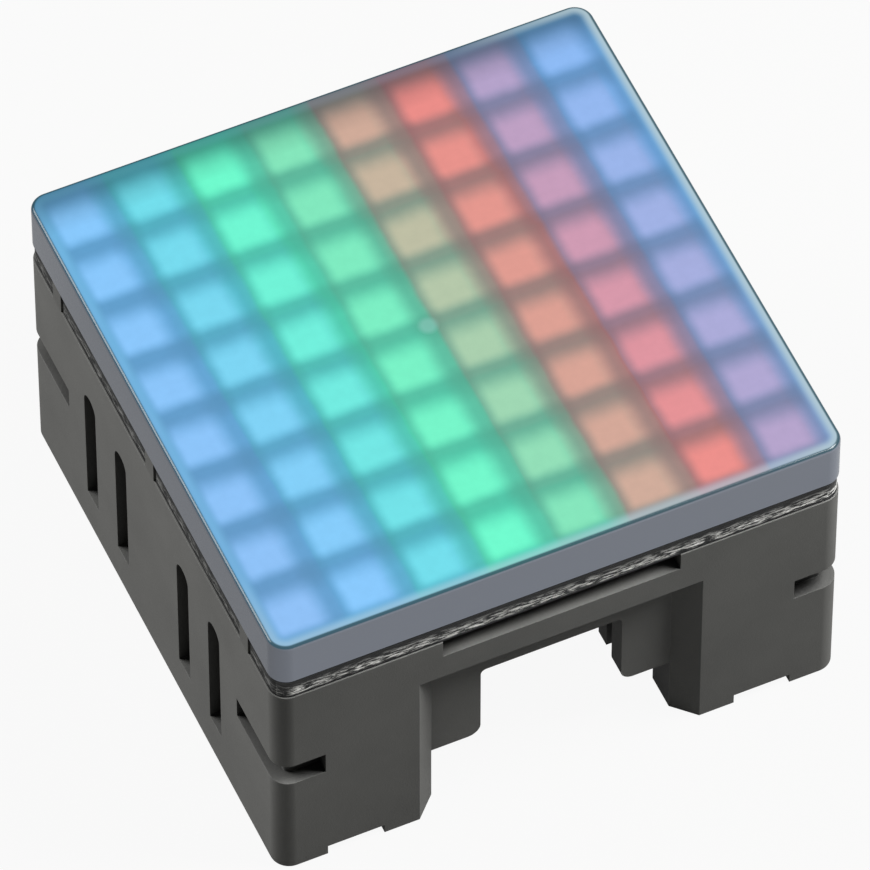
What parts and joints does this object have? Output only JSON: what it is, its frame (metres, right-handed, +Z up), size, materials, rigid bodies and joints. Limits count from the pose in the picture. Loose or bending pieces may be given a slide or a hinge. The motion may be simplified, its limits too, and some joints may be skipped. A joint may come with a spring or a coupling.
{
  "type": "led dot matrix",
  "caption": "Square full-colour LED matrix unit: a satin diffuser cap over a cell grid and circuit board, on a legged housing with cable arches front and back.",
  "frame": {"origin": "centre of the footprint, on the surface the unit stands on", "axes": "+X to the right along the front, +Y to the back, +Z up through the lit face"},
  "size_m": [0.04, 0.04, 0.024],
  "materials": {
    "diffuser": "satin translucent smoky plastic, lit from below",
    "grid": "matt black moulded",
    "adhesive": "matt black adhesive foam",
    "board": "black solder mask on glass-fibre laminate, cut edge bare",
    "led": "white substrate with clear resin",
    "socket": "natural moulded nylon",
    "contact": "plated",
    "capacitor": "fired ceramic with tinned ends",
    "resistor": "black glazed ceramic with tinned ends",
    "chip": "black moulding compound with tinned leads",
    "housing": "fine satin moulded"
  },
  "bodies": {
    "root": {"diffuser_cap": "diffuser", "light_grid": "grid", "adhesive_strips": "adhesive", "led_board": "board", "led_row_1": "led", "led_row_2": "led", "led_row_3": "led", "led_row_4": "led", "led_row_5": "led", "led_row_6": "led", "led_row_7": "led", "led_row_8": "led", "in_socket": "socket", "in_pins": "contact", "out_socket": "socket", "out_pins": "contact", "reservoir_capacitors": "capacitor", "bypass_capacitors": "capacitor", "line_resistors": "resistor", "buffer_chip": "chip", "base_housing": "housing"}
  },
  "joints": []
}
